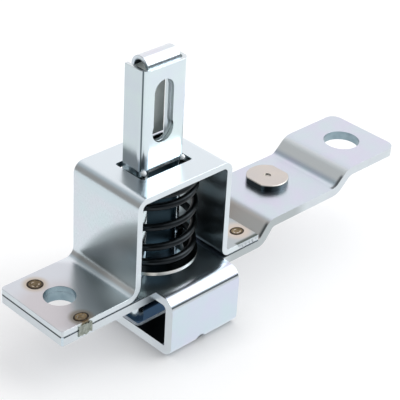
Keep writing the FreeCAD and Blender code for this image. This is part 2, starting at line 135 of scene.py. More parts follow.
def add(tree, kind, numbers=None, feeds=None, **settings):
    """Add one node: its own settings, its sockets' numbers, and what feeds its sockets."""
    node = tree.nodes.new(kind)
    for name, setting in settings.items():
        setattr(node, name, setting)
    for name, number in (numbers or {}).items():
        node.inputs[name].default_value = number
    for name, socket in (feeds or {}).items():
        tree.links.new(socket, node.inputs[name])
    return node


print("the sRGB grey #808080 is", round(linear("#808080")[0], 3), "in light")


# %% Helpers for masks
def ramp(tree, value, low, high):
    """0 where value is below low and 1 above high, in millimetres, with soft ends."""
    return add(tree, "ShaderNodeMapRange", {"From Min": low * MM, "From Max": high * MM},
               {"Value": value}, interpolation_type="SMOOTHSTEP").outputs[0]


def times(tree, first, second):
    """One mask times another, which keeps only what lies in both."""
    return add(tree, "ShaderNodeMath", feeds={0: first, 1: second},
               operation="MULTIPLY").outputs[0]


def in_box(tree, axes, low, high, fade):
    """A mask that fills a box given in millimetres; None leaves a side open."""
    mask = None
    for axis, bottom, top in zip(axes, low, high):
        for limit, reach in ((bottom, fade), (top, -fade)):
            if limit is None:
                continue
            side = ramp(tree, axis, limit, limit + reach)
            mask = side if mask is None else times(tree, mask, side)
    return mask


def in_ball(tree, spot, centre, radius, fade):
    """A mask that fills a ball round a centre given in millimetres."""
    away = add(tree, "ShaderNodeVectorMath", {1: Vector(centre) * MM}, {0: spot},
               operation="DISTANCE").outputs["Value"]
    return ramp(tree, away, radius + fade, radius)


print("masks: a box and a ball")

# %% [markdown]
# ## The white sheet
#
# Small metal parts are photographed on a white sheet. A plain grid makes it, level with the
# lowest face of the latch and so large that its far edge lies out of the picture.

# %% Lay the white sheet
FLOOR_Z = cad_box[0][2]
FLOOR_MIDDLE = 0.04
FLOOR_HALF = 3.0


def as_mesh(name, shape):
    """Turn a finished bmesh into a mesh of this name."""
    mesh = bpy.data.meshes.new(name)
    shape.to_mesh(mesh)
    shape.free()
    return mesh


shape = bmesh.new()
bmesh.ops.create_grid(shape, x_segments=1, y_segments=1, size=FLOOR_HALF)
bmesh.ops.translate(shape, verts=shape.verts, vec=(FLOOR_MIDDLE, 0, FLOOR_Z))
white_sheet = bpy.data.objects.new("white_sheet", as_mesh("white_sheet", shape))
bpy.context.collection.objects.link(white_sheet)
print("sheet at", round(FLOOR_Z / MM, 1), "mm")

# %% [markdown]
# ## How the paper glows
#
# Lit by the lamp and the room alone, matt paper would look grey beside the bright metal, so
# it also glows a little. The camera sees one glow and the metal mirrors another, which
# grows towards the right.
#
# A glow has no shadow, so the camera's share is dimmed where the latch stands over the
# paper: by a narrow dark line where the two meet, and by a wide soft shade round it. Right
# under the mouth a painted shadow lies on the paper: a dark blue-grey glow, for the place
# where hardly any light gets in. It shows only through the opening in the mouth's floor.

# %% Make the paper
SEEN_LIFT = 0.42
SEEN_GLOW = 1.22
MIRRORED_LIFT = 0.8
MIRRORED_GLOW = (1.0, 1.26)
MIRRORED_SPAN = (-0.1, 0.06)
RIGHTWARD = (0.7, -0.7, 0)
CONTACT_REACH = 0.012
SHADE_REACH = 0.05
SHADE_DEEPEST = 0.55
SHADE_LEAVES = 0.78
SHADE_SAMPLES = 8
# where the painted shadow lies on the paper under the mouth
UNDER_MOUTH_LOW = (24.6, -18.0)
UNDER_MOUTH_HIGH = (51.7, 13.9)
UNDER_MOUTH_FADE = 0.1

# matt white paper: no shine at all, only a faint cold tint
sheet_paper = bpy.data.materials.new("matt_white_paper")
sheet_paper.use_nodes = True
tree = sheet_paper.node_tree
tree.nodes.clear()
surface = add(tree, "ShaderNodeBsdfDiffuse", {"Color": linear("#f2f3f4")}).outputs[0]
rays = add(tree, "ShaderNodeLightPath")
where = add(tree, "ShaderNodeNewGeometry").outputs["Position"]
rightward = add(tree, "ShaderNodeVectorMath", {1: RIGHTWARD}, {0: where},
                operation="DOT_PRODUCT").outputs["Value"]
mirrored = add(tree, "ShaderNodeMapRange",
               {"From Min": MIRRORED_SPAN[0], "From Max": MIRRORED_SPAN[1],
                "To Min": MIRRORED_GLOW[0], "To Max": MIRRORED_GLOW[1]},
               {"Value": rightward}).outputs[0]
contact, shade = (
    add(tree, "ShaderNodeAmbientOcclusion", {"Distance": reach},
        samples=SHADE_SAMPLES).outputs["AO"] for reach in (CONTACT_REACH, SHADE_REACH))
shade = add(tree, "ShaderNodeMapRange",
            {"From Min": SHADE_DEEPEST, "To Min": SEEN_GLOW * SHADE_LEAVES,
             "To Max": SEEN_GLOW}, {"Value": shade}).outputs[0]
for ray, amount, strength in (("Is Camera Ray", SEEN_LIFT, times(tree, contact, shade)),
                              ("Is Glossy Ray", MIRRORED_LIFT, mirrored)):
    glow = add(tree, "ShaderNodeEmission", {"Color": (1, 1, 1, 1)}, {"Strength": strength})
    lift = add(tree, "ShaderNodeMath", {1: amount}, {0: rays.outputs[ray]},
               operation="MULTIPLY")
    surface = add(tree, "ShaderNodeMixShader", feeds={0: lift.outputs[0], 1: surface,
                                                      2: glow.outputs[0]}).outputs[0]
# painted shadow: a dark blue-grey glow on the paper right under the mouth
painted_shadow_glow = add(tree, "ShaderNodeEmission", {"Color": linear("#34485e"), "Strength": 1.0})
axes = add(tree, "ShaderNodeSeparateXYZ", feeds={0: where}).outputs
under = in_box(tree, axes[:2], UNDER_MOUTH_LOW, UNDER_MOUTH_HIGH, UNDER_MOUTH_FADE)
surface = add(tree, "ShaderNodeMixShader", feeds={0: under, 1: surface,
                                                  2: painted_shadow_glow.outputs[0]}).outputs[0]
add(tree, "ShaderNodeOutputMaterial", feeds={"Surface": surface})
white_sheet.data.materials.append(sheet_paper)
print("paper nodes:", len(tree.nodes))

# %% [markdown]
# ## The room
#
# A mirror-like surface shows whatever stands round it, so the room decides what the metal
# looks like. The strip's top mirrors a pale panel behind it, the rounded fold mirrors the
# bright light high on the right, and the slopes that face left mirror the dim side of the
# room. So the room is a world that changes with direction: pale walls, with one patch after
# another laid over them, each round a direction and with a soft edge. What the camera
# itself sees of it is plain white.

# %% Light the room from the world
ROOM_WALLS = "#c4c8cc"
# direction, where the patch starts and where it is full (1 is dead ahead), colour, strength
ROOM_PATCHES = [
    ((-0.8, 0.55, 0.3), 0.8, 0.94, "#aaa29e", 1.0),       # the dim side, on the left
    ((0.62, 0.6, 0.5), 0.6, 0.9, "#fff8f8", 1.2),         # the pale panel behind
    ((0.6, -0.35, 0.7), 0.79, 0.89, "#ffffff", 2.4),      # the bright light, high on the right
    ((0.61, -0.79, 0.1), 0.965, 0.985, "#5f666c", 1.0),   # a grey gap under that light
    ((-0.61, -0.6, 0.5), 0.84, 0.94, "#15191b", 1.0),     # the dark round the camera
]

room = bpy.data.worlds.new("photo_room")
bpy.context.scene.world = room
room.use_nodes = True
tree = room.node_tree
tree.nodes.clear()
way = add(tree, "ShaderNodeTexCoord")


def lobe(toward, start, end):
    """How much a direction looks toward a place: 0 below start and 1 above end."""
    dot = add(tree, "ShaderNodeVectorMath", {1: Vector(toward).normalized()},
              {0: way.outputs["Generated"]}, operation="DOT_PRODUCT")
    return add(tree, "ShaderNodeMapRange", {"From Min": start, "From Max": end},
               {"Value": dot.outputs["Value"]}, interpolation_type="SMOOTHSTEP").outputs[0]


def paint(under, amount, code, strength):
    """Lay a colour over another by an amount."""
    shade = [part * strength for part in linear(code)[:3]] + [1.0]
    over = add(tree, "ShaderNodeMix", {"B": shade}, {"A": under, "Factor": amount},
               data_type="RGBA")
    return over.outputs["Result"]


base = add(tree, "ShaderNodeRGB")
base.outputs[0].default_value = linear(ROOM_WALLS)
colour = base.outputs[0]
for toward, start, end, code, strength in ROOM_PATCHES:
    colour = paint(colour, lobe(toward, start, end), code, strength)
light = add(tree, "ShaderNodeBackground", {"Strength": 1.0}, {"Color": colour})
white = add(tree, "ShaderNodeBackground", {"Color": (1, 1, 1, 1), "Strength": 1.0})
rays = add(tree, "ShaderNodeLightPath")
choice = add(tree, "ShaderNodeMixShader", feeds={0: rays.outputs["Is Camera Ray"],
                                                 1: light.outputs[0], 2: white.outputs[0]})
add(tree, "ShaderNodeOutputWorld", feeds={"Surface": choice.outputs[0]})
bpy.context.scene.view_settings.view_transform = "Standard"
print("room patches:", len(ROOM_PATCHES))

# %% [markdown]
# ## The soft lamp
#
# The world alone gives almost no shadow. One square panel, high on the right, throws the
# soft shadow to the left of the latch and puts a broad highlight on the fold. An area lamp
# spreads its power over its face, so the power is worked out from how bright the face
# should look.

# %% Add the soft lamp
LATCH_MIDDLE = Vector((0.045, 0, 0.015))
LAMP_AWAY = Vector((0.42, -0.36, 0.42))
LAMP_SIZE = 0.3
LAMP_STRENGTH = 3.0

lamp_data = bpy.data.lights.new("key_panel", "AREA")
lamp_data.size = LAMP_SIZE
lamp_data.energy = LAMP_STRENGTH * math.pi * LAMP_SIZE * LAMP_SIZE
lamp = bpy.data.objects.new("key_panel", lamp_data)
bpy.context.collection.objects.link(lamp)
lamp.location = LATCH_MIDDLE + LAMP_AWAY
lamp.rotation_euler = (LATCH_MIDDLE - lamp.location).to_track_quat("-Z", "Y").to_euler()
print("lamp power", round(lamp_data.energy, 2), "W")

# %% [markdown]
# ## Bright zinc plate
#
# The strip, the hat and the plunger are mild steel with a thin layer of bright zinc. Zinc
# is a metal, so it has no colour of its own beyond a cold bluish tint on what it mirrors,
# and it is semi-bright: rolled sheet under the plate keeps it from being a true mirror.
# One recipe makes it, with soft clouds from the bath between two cold tints and fine
# streaks from rolling. The pattern is laid in object coordinates, in metres, so clouds
# 8 mm wide need a scale of about 1 / 0.008. The real streaks are too fine to show, so
# they are drawn a third of a millimetre apart.
#
# On top of that, heat stains and painted light and shade are laid in by place. Balls come
# first: each fills a ball round a spot, such as the brown round a weld. Boxes come after
# them: each fills a box, such as the painted shade inside the hat. Both fade out at their
# sides, and both change the shine of what they cover.

# %% The zinc recipe
NOISE_RANGE = (0.3, 0.7)
CLOUD_RANGE = (0.35, 0.65)
GLOSS_SWING = 0.03
STREAK_BUMP = 0.08
STREAK_HIGH = 0.05


def per_mm(size):
    """The texture scale that repeats a pattern about every size millimetres."""
    return 1 / (size * MM)


def zinc_plate(name, code, tint, rough, streak=(1, 1, 1), cloud=8.0, grain=0.3, depth=0.1,
               painted_light_and_stain_boxes=(), painted_light_and_stain_balls=(), metal=1.0):
    """Zinc on rolled sheet: a metal between two colours, with clouds, streaks, stains and
    painted light and shade.

    cloud and grain are widths in millimetres, streak squeezes the grain along X, Y and Z,
    and depth is how dark it gets. Each ball is (centre, radius, fade, colour, roughness) and
    each box is (low corner, high corner, fade, colour, roughness); they hold stains and
    painted light and shade.
    """
    material = bpy.data.materials.new(name)
    material.use_nodes = True
    tree = material.node_tree
    tree.nodes.clear()
    place = add(tree, "ShaderNodeTexCoord").outputs["Object"]
    axes = add(tree, "ShaderNodeSeparateXYZ", feeds={0: place}).outputs
    clouds = add(tree, "ShaderNodeTexNoise", {"Scale": per_mm(cloud), "Detail": 3.0},
                 {"Vector": place}).outputs["Fac"]
    drawn = add(tree, "ShaderNodeMapping", {"Scale": streak}, {"Vector": place}).outputs[0]
    lines = add(tree, "ShaderNodeTexNoise", {"Scale": per_mm(grain), "Detail": 3.0},
                {"Vector": drawn}).outputs["Fac"]
    drift = add(tree, "ShaderNodeMapRange",
                {"From Min": CLOUD_RANGE[0], "From Max": CLOUD_RANGE[1]},
                {"Value": clouds}).outputs[0]
    colour = add(tree, "ShaderNodeMix", {"A": linear(tint), "B": linear(code)},
                 {"Factor": drift}, data_type="RGBA").outputs["Result"]
    worn = add(tree, "ShaderNodeMapRange",
               {"From Min": NOISE_RANGE[0], "From Max": NOISE_RANGE[1],
                "To Min": 1.0 - depth, "To Max": 1.0}, {"Value": lines}).outputs[0]
    colour = add(tree, "ShaderNodeMix", {"Factor": 1.0}, {"A": colour, "B": worn},
                 data_type="RGBA", blend_type="MULTIPLY").outputs["Result"]
    gloss = add(tree, "ShaderNodeMapRange",
                {"From Min": NOISE_RANGE[0], "From Max": NOISE_RANGE[1],
                 "To Min": rough + GLOSS_SWING, "To Max": rough - GLOSS_SWING},
                {"Value": lines}).outputs[0]
    layers = [(in_ball(tree, place, centre, radius, fade), shade, dull)
              for centre, radius, fade, shade, dull in painted_light_and_stain_balls]
    layers += [(in_box(tree, axes, low, high, fade), shade, dull)
               for low, high, fade, shade, dull in painted_light_and_stain_boxes]
    for mask, shade, dull in layers:
        colour = add(tree, "ShaderNodeMix", {"B": linear(shade)},
                     {"A": colour, "Factor": mask}, data_type="RGBA").outputs["Result"]
        gloss = add(tree, "ShaderNodeMix", {"B": dull}, {"A": gloss, "Factor": mask},
                    data_type="FLOAT").outputs["Result"]
    bump = add(tree, "ShaderNodeBump", {"Strength": STREAK_BUMP, "Distance": STREAK_HIGH * MM},
               {"Height": lines}).outputs[0]
    plate = add(tree, "ShaderNodeBsdfPrincipled", {"Metallic": metal},
                {"Base Color": colour, "Roughness": gloss, "Normal": bump})
    add(tree, "ShaderNodeOutputMaterial", feeds={"Surface": plate.outputs[0]})
    return material


print("clouds 8 mm wide have scale", round(per_mm(8.0)))

# %% [markdown]
# ## Where the painted shade and the heat are
#
# Shade is painted into the plate where hollows lie. Inside the hat it covers the walls, the
# ceiling and the strip, and stops near the open front. In the mouth it lies on the floor.
# It turns bright zinc nearly black.
#
# Round each spot weld in view the heat has yellowed the plate, and from the front left one
# a brown smear runs to the edge. At the right foot's front edge the sheet is painted dark
# as shade. The left foot is a little greyer than the sheet beside it, and the slopes, the
# hat's top and the lower part of the hat's left wall are painted lighter or darker as
# reflection of the room.

# %% Mix the strip's finish
HAT_LEFT = 18.4
HAT_RIGHT = 51.6

# bright zinc on rolled strip: a cold half mirror, with streaks along the strip
strip_plate = zinc_plate(
    "zinc_plated_strip", "#c6d5dd", "#cbd0e0", 0.27, (1, 6, 6), painted_light_and_stain_boxes=[
        # painted shade: the strip a darker grey inside the hat
        ((HAT_LEFT, -16.6, -0.4), (HAT_RIGHT, None, 0.5), 0.5, "#9fadb4", 0.3),
        # painted shade: the mouth's floor nearly black
        ((None, -17.6, -17.5), (None, 13.0, -16.6), 0.2, "#14191c", 0.45),
        # painted reflection: the first slope warm, darker and dull, and the second paler
        ((66.8, None, -0.6), (74.0, None, 5.2), 1.0, "#d0cbc6", 0.35),
        ((103.6, None, 3.0), (109.2, None, 10.6), 1.4, "#e6ebeb", 0.3),
        # painted shade on the front edges of the two slopes
        ((66.5, -14.6, -0.5), (74.0, -12.4, 4.8), 1.2, "#4a5052", 0.4),
        ((100.6, -14.6, 3.2), (106.6, -12.4, 9.4), 1.1, "#6a7073", 0.4),
        # painted reflection: a grey line on the front of the fold, under its upper bend
        ((24.4, -21.8, -2.9), (51.9, -20.6, -2.0), 0.3, "#6d767b", 0.3),
    ], painted_light_and_stain_balls=[
        # painted shadow in the nick where the drain hole breaks out of the fold
        ((36.8, -21.5, -19.0), 1.3, 0.7, "#3c4244", 0.5),
    ])
print(strip_plate.name, "nodes", len(strip_plate.node_tree.nodes))

# %% Mix the hat's finish
HAT_CEILING = 31.8
# the colour of the painted shade inside the hat
PAINTED_INSIDE_SHADE = "#1c2123"

# bright zinc on a bent strip: paler than the base, with streaks up and down its walls
hat_plate = zinc_plate(
    "zinc_plated_hat", "#dbe9ee", "#e0e6ee", 0.28, (9, 9, 0.4), grain=0.45, depth=0.2, painted_light_and_stain_boxes=[
        # painted shade inside the hat
        ((HAT_LEFT, -13.4, -0.5), (HAT_RIGHT, None, HAT_CEILING), 0.5, PAINTED_INSIDE_SHADE, 0.4),
        # painted shade on the front edge of the right foot
        ((57.5, -15.0, 1.0), (67.8, -12.4, None), 1.0, "#59625f", 0.4),
    ], painted_light_and_stain_balls=[
        # the left foot is greyer round its bolt hole, and most at its outer end
        ((0.0, 2.0, 2.0), 14.0, 3.0, "#c3cbd2", 0.28),
        ((-4.0, -4.0, 2.0), 8.0, 8.0, "#bcbdc1", 0.3),
        # painted reflection of shade over the left wall's lower front and over the right foot
        ((56.4, -41.5, -27.7), 71.9, 2.4, "#aab5b9", 0.28),
        # painted reflection: the hat's top a little darker than its walls
        ((34.0, 0.0, 60.0), 35.5, 2.5, "#d0dde3", 0.28),
        # painted reflection: a bright place low on the left wall
        ((16.4, -10.0, 6.0), 3.0, 9.0, "#dfebef", 0.28),
        # heat round the left back and left front welds, with the smear to the edge
        ((-1.9, 9.0, 2.0), 2.3, 2.4, "#b6afa2", 0.36),
        ((-1.8, -11.8, 2.0), 2.6, 1.8, "#8f8c84", 0.4),
        ((-2.0, -13.5, 2.0), 0.8, 0.9, "#67553f", 0.55),
        # heat round the right front weld
        ((63.6, -8.2, 2.0), 2.6, 3.4, "#c6bfb6", 0.36),
    ])
print(hat_plate.name, "nodes", len(hat_plate.node_tree.nodes))

# %% [markdown]
# ## The plunger's finish
#
# The channel is the brightest piece, because its sheet is thin and smooth; a dark
# reflection is painted up its left side. Below the guide the strap inside it is painted
# blue-black as shade, and above it is as bright as the channel. The keyhole looks into the
# strap's loop: the wall at its back is painted pale and matt for the light it catches, and
# the rest of the hollow is painted dark as shade.

# %% Mix the plunger's finishes
# bright zinc on thin smooth sheet: nearly a mirror, with a painted dark reflection up its left
# side
channel_plate = zinc_plate(
    "zinc_plated_channel", "#d2e0e2", "#d0dae2", 0.17, (9, 9, 0.5), painted_light_and_stain_boxes=[
        ((26.55, -3.35, 34.5), (27.2, -2.75, None), 0.2, "#59666b", 0.3),
    ])
# the same plate on the strap, with blue-black painted shade below the guide
strap_plate = zinc_plate(
    "zinc_plated_strap", "#d4e2e6", "#d6dce6", 0.2, (9, 9, 0.5), painted_light_and_stain_boxes=[
        ((None, -3.8, None), (None, None, 33.6), 0.8, "#1d2e37", 0.28),
    ])
# pale matt zinc, painted lit where the keyhole shows the loop's back wall
strap_painted_lit = zinc_plate("painted_lit_inside", "#f6faf6", "#eef3f0", 0.6, metal=0.0)
# painted shade in the hollow: nearly black, with a soft shine
strap_painted_shade = zinc_plate("painted_shade_hollow", "#20262a", "#1a2024", 0.5)
print("plunger finishes 4")

# %% [markdown]
# ## Sheared edges and punched holes
#
# The cut faces, along the strip's sides and at its ends, get a duller finish of their own,
# because a shear leaves them rough under the plate. Where the hat's foot lies on the strip,
# the cut faces of both are painted dark along the seam where the two edges meet.

# %% Mix the finishes of the cuts
# the cut faces painted dark along the seam of the hat's foot and the strip
SEAM = ((None, None, -0.5), (67.4, None, 0.32), 0.25, "#2c3437", 0.5)

# zinc on the strip's sheared edge: grey and soft, and darkest along its middle
cut_edge = zinc_plate(
    "zinc_on_sheared_edge", "#ced6da", "#cbd1d7", 0.36, (1, 6, 6), cloud=4.0,
    painted_light_and_stain_boxes=[((50.0, None, None), (90.0, None, None), 7.0, "#aab1b3", 0.38), SEAM])
# the same on the hat's edge, brown where the front left weld smeared it
hat_edge = zinc_plate(
    "zinc_on_sheared_hat_edge", "#d4dde1", "#d1d8de", 0.36, (1, 6, 6), cloud=4.0,
    painted_light_and_stain_boxes=[SEAM], painted_light_and_stain_balls=[((-2.2, -14.0, 1.3), 1.0, 1.0, "#7d735f", 0.5)])
# zinc in a punched hole: painted darker as shade, because the wall faces the hole's other side
hole_wall = zinc_plate("zinc_in_punched_hole", "#93a7b0", "#7f939d", 0.3, (1, 1, 5), cloud=4.0)
print("materials:", len(bpy.data.materials))

# %% [markdown]
# ## Rounded edges
#
# A sheared or stamped edge is never sharp: the die rolls one side over and tumbling takes
# off the burr on the other, so every edge has a radius of a few tenths of a millimetre. It
# is small, but it catches a bright or a dark line wherever two faces meet, and it opens the
# fine dark groove between the hat's foot and the strip. The four sheet pieces are copied,
# their flat facets are joined, and every outside corner gets that radius. The copies stand
# for the CAD nodes and ride on the same bodies.

# %% Helpers for pieces
EDGE = 0.3 * MM
FLAT_ANGLE = math.radians(1.0)
CRISP_ANGLE = math.radians(40)
SOFT_ANGLE = math.radians(38)


def finish_object(name, mesh, materials, body):
    """Make a piece of the latch from a mesh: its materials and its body."""
    piece = bpy.data.objects.new(name, mesh)
    bpy.context.collection.objects.link(piece)
    for material in materials:
        piece.data.materials.append(material)
    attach(piece, body)
    return piece


def rounded(node, name, materials, body, finish_of=None, radius=EDGE):
    """A copy of a CAD node with its outside corners rounded; it stands for the node.

    finish_of says which of the materials a face takes, from its middle and its normal.
    """
    shape = bmesh.new()
    shape.from_mesh(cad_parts[node].data)
    bmesh.ops.remove_doubles(shape, verts=shape.verts, dist=0.001 * MM)
    bmesh.ops.dissolve_limit(shape, angle_limit=FLAT_ANGLE, verts=shape.verts,
                             edges=shape.edges)
    crisp = [edge for edge in shape.edges
             if edge.is_manifold and edge.calc_face_angle_signed() > CRISP_ANGLE]
    bmesh.ops.bevel(shape, geom=crisp, offset=radius, offset_type="OFFSET", segments=3,
                    profile=0.5, affect="EDGES", clamp_overlap=True, material=-1)
    for face in shape.faces:
        face.smooth = True
        if finish_of:
            face.material_index = finish_of(face.calc_center_median() / MM, face.normal)
    for edge in shape.edges:
        edge.smooth = not edge.is_manifold or abs(edge.calc_face_angle()) < SOFT_ANGLE
    piece = finish_object(name, as_mesh(name, shape), materials, body)
    weigh = piece.modifiers.new("weigh", "WEIGHTED_NORMAL")
    weigh.keep_sharp = True
    bpy.context.view_layer.update()
    ready = bpy.data.meshes.new_from_object(
        piece.evaluated_get(bpy.context.evaluated_depsgraph_get()))
    piece.modifiers.clear()
    piece.data = ready
    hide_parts(node)
    print(name, "crisp edges", len(crisp), "faces", len(ready.polygons))
    return piece


print("edge radius", round(EDGE / MM, 2), "mm")

# %% [markdown]
# ## Which finish a face takes
#
# One piece of sheet has three finishes: the rolled faces, the sheared sides and the walls
# of its holes. Nobody picks them by hand. A face's middle and its direction tell which one
# it is: a sheared side faces straight forward, back, left or right and lies at the sheet's
# rim, and a hole's wall lies on the hole's radius.

# %% Tell the faces apart
ROLLED, SHEARED, PUNCHED = 0, 1, 2
# place along X and radius
BOLT_HOLES = ((0.0, 4.8), (120.6, 6.0))
HOLE_SLACK = 0.2
# how much of a face's direction lies along an axis: roughly, and squarely
FACING = 0.5
STRAIGHT = 0.9
SIDES = 13.6
STRIP_ENDS = (-10.2, 131.9)
TAB_BELOW = -3.2
FOOT_TOP = 2.0


def in_bolt_hole(spot, normal):
    """Whether a face is part of the wall of either bolt hole."""
    return abs(normal.z) < FACING and any(
        math.hypot(spot.x - across, spot.y) < radius + HOLE_SLACK
        for across, radius in BOLT_HOLES)


def strip_finish(spot, normal):
    """Sheared on the strip's sides and ends and on the sides of its tab."""
    if spot.z < TAB_BELOW:
        return SHEARED if abs(normal.x) > STRAIGHT or normal.y > STRAIGHT else ROLLED
    if in_bolt_hole(spot, normal):
        return PUNCHED
    if abs(normal.y) > STRAIGHT and abs(spot.y) > SIDES:
        return SHEARED
    at_end = not STRIP_ENDS[0] < spot.x < STRIP_ENDS[1]
    return SHEARED if abs(normal.x) > STRAIGHT and at_end else ROLLED


def hat_finish(spot, normal):
    """Sheared on the hat's front and back edges and at the ends of its feet."""
    if in_bolt_hole(spot, normal):
        return PUNCHED
    if abs(normal.y) > STRAIGHT and abs(spot.y) > SIDES:
        return SHEARED
    return SHEARED if abs(normal.x) > STRAIGHT and spot.z < FOOT_TOP else ROLLED


# the outside, the painted lit wall in the keyhole, and the painted shade in the hollow
OUTSIDE, PAINTED_LIT, PAINTED_SHADE_HOLLOW = 0, 1, 2
LOOP_MIDDLE = 0.625
LOOP_INSIDE = 2.6
LOOP_HIGH = 65.5
SEEN_IN_KEYHOLE = (36.0, 64.0)


def strap_finish(spot, normal):
    """Painted lit inside the loop where the keyhole shows it, and painted shade in the rest of
    it.
    """
    above = max(spot.z - LOOP_HIGH, 0.0)
    if abs(normal.x) > FACING or math.hypot(spot.y - LOOP_MIDDLE, above) > LOOP_INSIDE:
        return OUTSIDE
    return PAINTED_LIT if SEEN_IN_KEYHOLE[0] < spot.z < SEEN_IN_KEYHOLE[1] else PAINTED_SHADE_HOLLOW


print("bolt holes:", len(BOLT_HOLES))

# %% Round the four sheet pieces
THIN_EDGE = 0.2 * MM

rounded("base_plate", "rounded_strip", [strip_plate, cut_edge, hole_wall], "housing",
        strip_finish)
rounded("hat_bracket", "rounded_hat", [hat_plate, hat_edge, hole_wall], "housing",
        hat_finish)
rounded("plunger_channel", "rounded_channel", [channel_plate], "plunger",
        radius=THIN_EDGE)
rounded("plunger_strap", "rounded_strap", [strap_plate, strap_painted_lit, strap_painted_shade],
        "plunger", strap_finish, radius=THIN_EDGE)

# %% [markdown]
# ## The stud, the washer and the pin
#
# These three are turned, punched or drawn, so their CAD shapes are right as they are and
# only their finish changes. The stud's plate has a warm tint, and its side is dark below
# the rim. The washer's top is painted black as shade under the spring, and only its rim
# stays bright. The pin is plain steel.

# %% Dress the three small pieces
STUD_RIM = 7.35
WASHER_TOP = 4.05


def wear(node, material):
    """Give a CAD node this material in every slot."""
    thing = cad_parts[node]
    thing.data.materials.clear()
    thing.data.materials.append(material)


# warm zinc on a turned head: dark on the left, on the right and in front below its rim
stud_plate = zinc_plate("zinc_plated_stud", "#c9c6c0", "#c3c2bf", 0.32, painted_light_and_stain_boxes=[
    (low, high, 0.25, "#454d50", 0.25)
    for low, high in (((None, None, None), (86.6, None, STUD_RIM)),
                      ((90.2, None, None), (None, None, STUD_RIM)),
                      ((None, None, None), (None, 1.3, STUD_RIM)))])
# dull zinc on the washer: a bright rim, with painted shade on its top
washer_plate = zinc_plate("dull_zinc_washer", "#d9d8d0", "#cfcfcb", 0.3, painted_light_and_stain_boxes=[
    ((None, None, WASHER_TOP), (None, None, None), 0.2, "#24282a", 0.3)])
# drawn steel without plate: grey, with a plain shine
pin_steel = zinc_plate("drawn_steel_pin", "#8c9094", "#7c8084", 0.3)

wear("pivot_stud", stud_plate)
wear("spring_washer", washer_plate)
wear("cross_pin", pin_steel)
print("small pieces 3")

# %% [markdown]
# ## The spring
#
# The spring sits between the washer, which rises with the plunger, and the underside of the
# hat, which stays. So it neither rides up nor keeps its length: it is pressed together from
# below. Its CAD mesh can't bend, so a merged copy of it stands for it, rides on the housing
# and keeps its length.

# %% Copy the spring
shape = bmesh.new()
shape.from_mesh(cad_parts["plunger_spring"].data)
bmesh.ops.remove_doubles(shape, verts=shape.verts, dist=0.0005 * MM)
for face in shape.faces:
    face.smooth = True
mesh = as_mesh("pressed_spring", shape)
# oiled spring wire: black from hardening, with a thin highlight along each turn
spring_steel = zinc_plate("oiled_spring_wire", "#2c3033", "#1f2224", 0.3)
spring = finish_object("pressed_spring", mesh, [spring_steel], "housing")
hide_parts("plunger_spring")
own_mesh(spring)

# %% [markdown]
# ## Spot welds
#
# Two spot welds hold each foot of the hat down. The electrode leaves a shallow dish with a
# raised, burnt rim, and the middle stays rough and tan because plate doesn't take on it.
# Each mark is a small turned form, so its profile is spun round, roughened with noise and
# squeezed a little. The profile ends under the foot's top and so closes itself there.

# %% The weld mark
# the profile as (share of the radius, height in millimetres)
DISH = [(0.0, 0.03), (0.25, 0.03), (0.5, 0.0), (0.68, 0.04), (0.8, 0.12), (0.92, 0.14),
        (1.03, 0.07), (1.1, -0.05), (0.0, -0.05)]
AROUND = 32
NUGGET_SHARE = 0.74
ROUGHNESS = 0.045
LUMPS_PER_MM = 1.3
SUNK_BELOW = -0.04 * MM

# bare nugget of the weld: tan, rough and matt
weld_nugget = zinc_plate("weld_nugget", "#8d7a5a", "#6b5a40", 0.85, cloud=1.2, grain=0.5,
                         depth=0.3, metal=0.0)
# burnt zinc on the rim: dark brown, with a little shine left
weld_ring = zinc_plate("burnt_weld_ring", "#4c443a", "#35302b", 0.5, cloud=1.0)


def weld_mark(name, across, back, radius, squeeze, seed):
    """A dished mark of this radius, in millimetres, on a foot of the hat."""
    shape = bmesh.new()
    profile = [shape.verts.new((share * radius * MM, 0, height * MM)) for share, height in DISH]
    profile += [shape.edges.new(pair) for pair in zip(profile, profile[1:])]
    bmesh.ops.spin(shape, geom=profile, cent=(0, 0, 0), axis=(0, 0, 1), angle=2 * math.pi,
                   steps=AROUND, use_merge=True)
    bmesh.ops.remove_doubles(shape, verts=shape.verts, dist=0.001 * MM)
    bmesh.ops.recalc_face_normals(shape, faces=shape.faces)
    for face in shape.faces:
        face.smooth = True
        middle = face.calc_center_median()
        burnt = math.hypot(middle.x, middle.y) > NUGGET_SHARE * radius * MM
        face.material_index = 1 if burnt else 0
    # each mark reads the noise at a place of its own, so no two are alike
    elsewhere = Vector((seed * 7.1, seed * 3.3, 0))
    for vert in shape.verts:
        if vert.co.z > SUNK_BELOW:
            spot = vert.co / MM
            vert.co.z += noise.noise(spot * LUMPS_PER_MM + elsewhere) * (ROUGHNESS * MM)
    bmesh.ops.scale(shape, verts=shape.verts, vec=(1, squeeze, 1))
    bmesh.ops.translate(shape, verts=shape.verts, vec=Vector((across, back, FOOT_TOP)) * MM)
    mesh = as_mesh(name, shape)
    return finish_object(name, mesh, [weld_nugget, weld_ring], "housing")


print("dish points:", len(DISH))

# %% Press the weld marks
# name, place along X and Y, radius and squeeze
WELDS = [("weld_left_back", -1.9, 8.95, 2.35, 1.0),
         ("weld_left_front", -1.8, -11.6, 2.3, 0.8),
         ("weld_right_front", 63.5, -8.3, 2.3, 0.85),
         ("weld_right_back", 63.5, 8.3, 2.3, 1.0)]

for seed, weld in enumerate(WELDS, 1):
    weld_mark(*weld, seed)
print("weld marks:", len(WELDS))

# %% [markdown]
# ## Crushed and torn edges
#
# The front left weld sits close to the edge, so it squeezed metal out over the strip's
# front face: a rough patch about five millimetres wide. The right foot's front edge was
# sheared with a blunt tool, which left a row of bright torn teeth along it. Both are thin
# crusts that lie on the face they belong to. Each starts as a grid with one column for each
# step of its ragged outline, and is extruded back into the sheet.

# %% The crust
STRIP_FRONT = -14.0
CRUST_ROOT = 0.3
CRUST_THINNEST = 0.35


